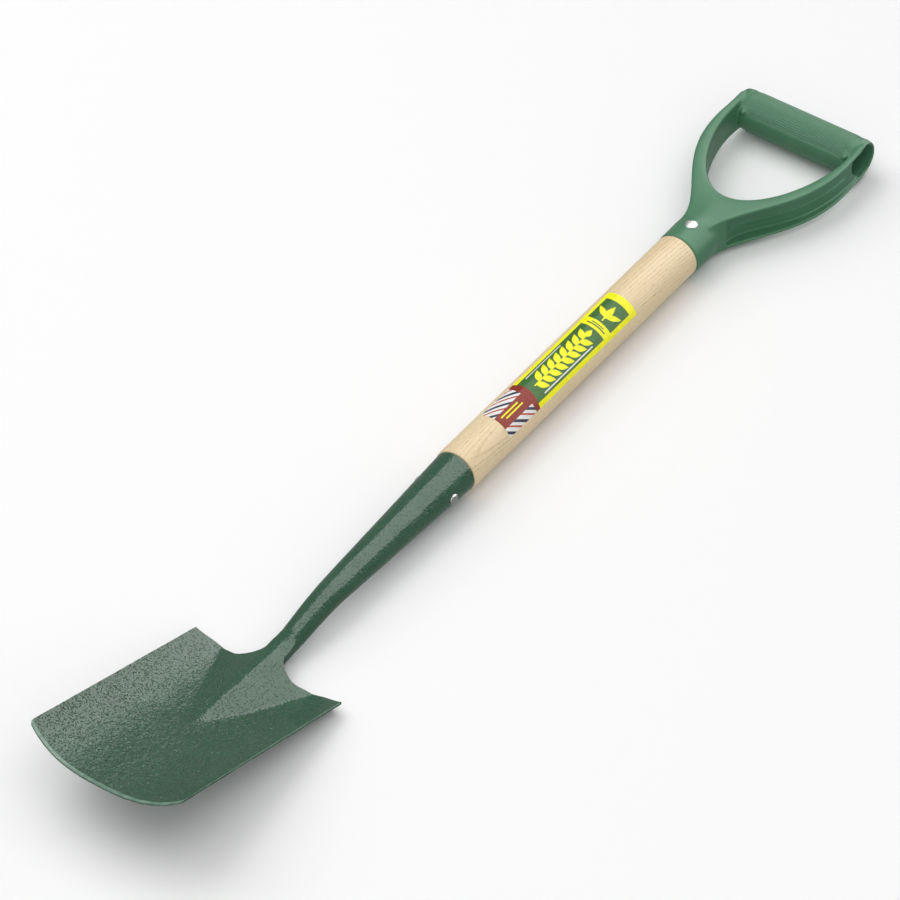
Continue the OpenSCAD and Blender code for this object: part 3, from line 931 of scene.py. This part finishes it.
def make_stage():
    """A wide pale floor that doesn't show in the tool's glossy surfaces."""
    mesh = bpy.data.meshes.new("floor")
    half = 9.0
    corners = [(-half, -half, 0), (half, -half, 0), (half, half, 0), (-half, half, 0)]
    mesh.from_pydata(corners, [], [(0, 1, 2, 3)])
    floor = bpy.data.objects.new("floor", mesh)
    material, _, shader = new_material("floor_paper", (0.90, 0.90, 0.90), 0.9)
    shader.inputs["Specular IOR Level"].default_value = 0.1
    mesh.materials.append(material)
    bpy.context.scene.collection.objects.link(floor)
    floor.visible_glossy = False


def add_softbox(name, direction, distance, size, power, mirrored):
    """A soft light on the spade: a mirrored one only shows in reflections, the other kind only lights."""
    light = bpy.data.lights.new(name, "AREA")
    light.shape = "RECTANGLE"
    light.size, light.size_y = size
    light.energy = power
    box = bpy.data.objects.new(name, light)
    bpy.context.scene.collection.objects.link(box)
    box.visible_glossy = mirrored
    box.visible_diffuse = not mirrored
    aim = Vector((0, -0.1, 0.03))
    place = aim + Vector(direction).normalized() * distance
    box.location = place
    box.rotation_euler = (place - aim).to_track_quat("Z", "Y").to_euler()


def make_light():
    world = bpy.data.worlds.new("studio")
    world.use_nodes = True
    background = world.node_tree.nodes["Background"]
    background.inputs["Color"].default_value = (1, 1, 1, 1)
    background.inputs["Strength"].default_value = 0.32
    bpy.context.scene.world = world
    add_softbox("back_panel", (0.27, 0.85, 0.80), 3.0, (4.2, 6.4), 238, mirrored=True)
    add_softbox("front_panel", (-0.42, -0.75, 0.55), 3.0, (5.0, 2.9), 110, mirrored=True)
    add_softbox("left_key", (-0.75, 0.1, 0.95), 4.2, (4.0, 4.0), 74, mirrored=False)
    add_softbox("overhead_fill", (0.0, 0.0, 1.0), 4.0, (6.0, 6.0), 98, mirrored=False)
    add_softbox("right_fill", (0.7, -0.6, 0.9), 4.5, (5.0, 5.0), 58, mirrored=False)


# Angles in degrees, the focal length in sensor widths, and the rest in millimetres
VIEW_AZIMUTH, VIEW_ELEVATION, VIEW_ROLL = 35.57, 43.52, -0.18
VIEW_DISTANCE, FOCAL_PER_WIDTH = 4566.0, 6.581
AIM_RIGHT, AIM_UP = -4.2, 16.5


def make_camera():
    az, el, roll = (math.radians(a) for a in (VIEW_AZIMUTH, VIEW_ELEVATION, VIEW_ROLL))
    back = Vector((math.sin(az) * math.cos(el), -math.cos(az) * math.cos(el), math.sin(el)))
    level_right = Vector((math.cos(az), math.sin(az), 0))
    level_up = back.cross(level_right)
    right = level_right * math.cos(roll) + level_up * math.sin(roll)
    up = back.cross(right)
    data = bpy.data.cameras.new("camera")
    data.sensor_width = 36.0
    data.lens = FOCAL_PER_WIDTH * data.sensor_width
    data.clip_end = 100
    camera = bpy.data.objects.new("camera", data)
    bpy.context.scene.collection.objects.link(camera)
    place = ORIGIN + (right * AIM_RIGHT + up * AIM_UP + back * VIEW_DISTANCE) * MM
    camera.matrix_world = Matrix((
        (right.x, up.x, back.x, place.x),
        (right.y, up.y, back.y, place.y),
        (right.z, up.z, back.z, place.z),
        (0, 0, 0, 1)))
    bpy.context.scene.camera = camera


make_camera()
make_light()
make_stage()
bpy.context.scene.view_settings.view_transform = "Standard"

enamel = enamel_material()
plastic = plastic_material()
make_blade_head(enamel, painted_edge_highlight_material())
make_shaft(wood_material())
make_handle(plastic)
make_knurl(knurl_material())
make_label()
make_rivet("socket_rivet_steel", "socket_rivet",
           steel_material("rivet_steel", (0.58, 0.59, 0.58), 0.34, 2.0),
           seat_r=17.0, head_r=4.6, head_h=1.8, y=SOCKET_RIVET_Y, axis="X")
make_rivet("handle_rivet_zinc", "handle_rivet",
           steel_material("rivet_zinc", (0.80, 0.80, 0.80), 0.22, 3.0),
           seat_r=FERRULE_R, head_r=5.0, head_h=1.2, y=HANDLE_RIVET_Y, axis="Z")
